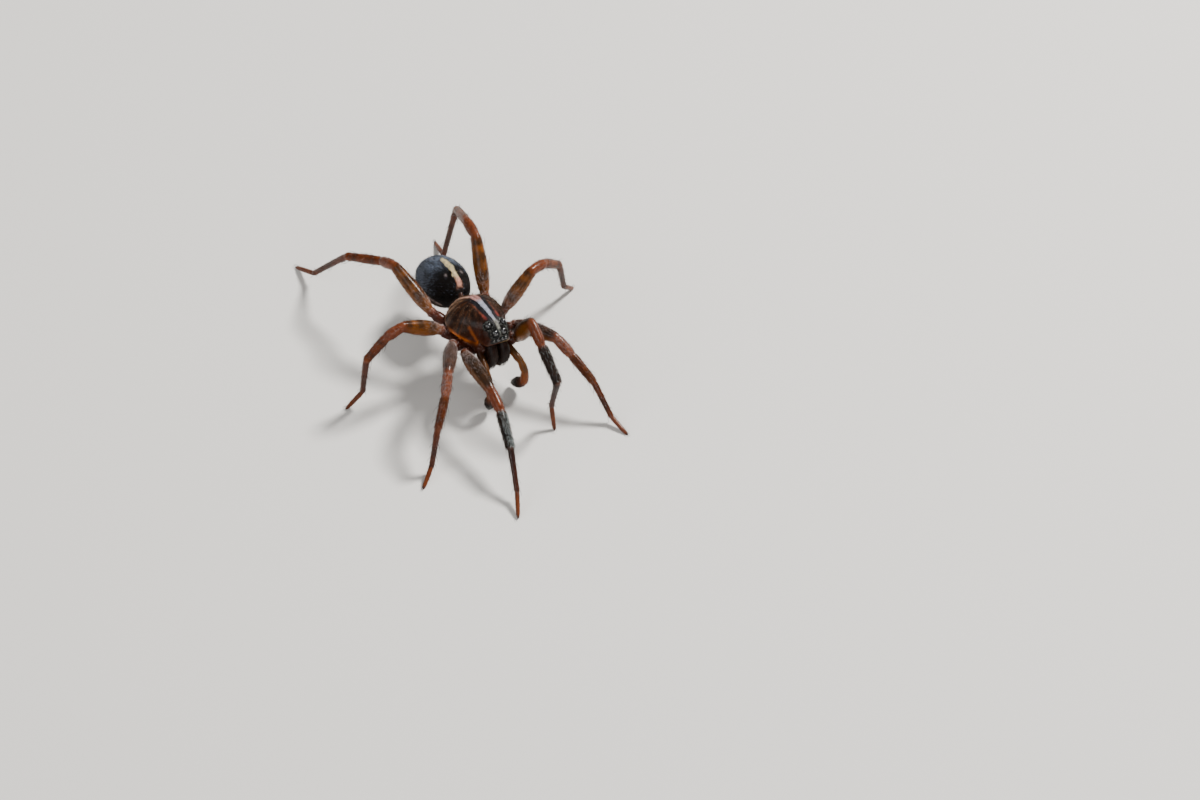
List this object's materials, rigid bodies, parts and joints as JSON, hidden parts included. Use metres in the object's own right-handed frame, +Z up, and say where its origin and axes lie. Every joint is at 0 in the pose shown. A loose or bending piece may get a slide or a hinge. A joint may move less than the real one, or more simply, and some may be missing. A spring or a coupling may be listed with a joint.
{
  "type": "wolf spider",
  "caption": "Wolf spider standing still: black abdomen with a pale front stripe, brown carapace with a whitish middle band, orange-brown legs with black front shins.",
  "frame": {"origin": "on the ground, in the middle of the bounding box of the standing spider", "axes": "+Z up, -Y the way the head looks, +X to the spider's own left"},
  "size_m": [0.0174, 0.026, 0.0065],
  "materials": {
    "carapace": "short-haired brown, satin",
    "abdomen_skin": "velvety black, matte",
    "femur": "short-haired amber brown, satin",
    "shin": "short-haired red-brown, satin",
    "front_shin": "short-haired black, satin",
    "foot": "short-haired orange-brown, satin",
    "palp": "short-haired orange-brown, satin",
    "cymbium": "short-haired dark brown, matte",
    "chelicera": "near black, glossy",
    "fang": "black-brown, polished",
    "eye": "black, polished"
  },
  "bodies": {
    "root": {"abdomen": "abdomen_skin", "cephalothorax": "carapace", "chelicera_left": "chelicera", "chelicera_right": "chelicera", "eye_front_inner_left": "eye", "eye_front_inner_right": "eye", "eye_front_outer_left": "eye", "eye_front_outer_right": "eye", "eye_middle_left": "eye", "eye_middle_right": "eye", "eye_rear_left": "eye", "eye_rear_right": "eye", "fang_left": "fang", "fang_right": "fang", "leg_left_1_coxa": "carapace", "leg_left_1_femur": "femur", "leg_left_1_metatarsus": "shin", "leg_left_1_tarsus": "foot", "leg_left_1_tibia": "front_shin", "leg_left_2_coxa": "carapace", "leg_left_2_femur": "femur", "leg_left_2_metatarsus": "shin", "leg_left_2_tarsus": "foot", "leg_left_2_tibia": "shin", "leg_left_3_coxa": "carapace", "leg_left_3_femur": "femur", "leg_left_3_metatarsus": "shin", "leg_left_3_tarsus": "foot", "leg_left_3_tibia": "shin", "leg_left_4_coxa": "carapace", "leg_left_4_femur": "femur", "leg_left_4_metatarsus": "shin", "leg_left_4_tarsus": "foot", "leg_left_4_tibia": "shin", "leg_right_1_coxa": "carapace", "leg_right_1_femur": "femur", "leg_right_1_metatarsus": "shin", "leg_right_1_tarsus": "foot", "leg_right_1_tibia": "front_shin", "leg_right_2_coxa": "carapace", "leg_right_2_femur": "femur", "leg_right_2_metatarsus": "shin", "leg_right_2_tarsus": "foot", "leg_right_2_tibia": "shin", "leg_right_3_coxa": "carapace", "leg_right_3_femur": "femur", "leg_right_3_metatarsus": "shin", "leg_right_3_tarsus": "foot", "leg_right_3_tibia": "shin", "leg_right_4_coxa": "carapace", "leg_right_4_femur": "femur", "leg_right_4_metatarsus": "shin", "leg_right_4_tarsus": "foot", "leg_right_4_tibia": "shin", "palp_left_arm": "palp", "palp_left_cymbium": "cymbium", "palp_right_arm": "palp", "palp_right_cymbium": "cymbium", "pedicel": "carapace", "spinnerets": "cymbium"}
  },
  "joints": []
}
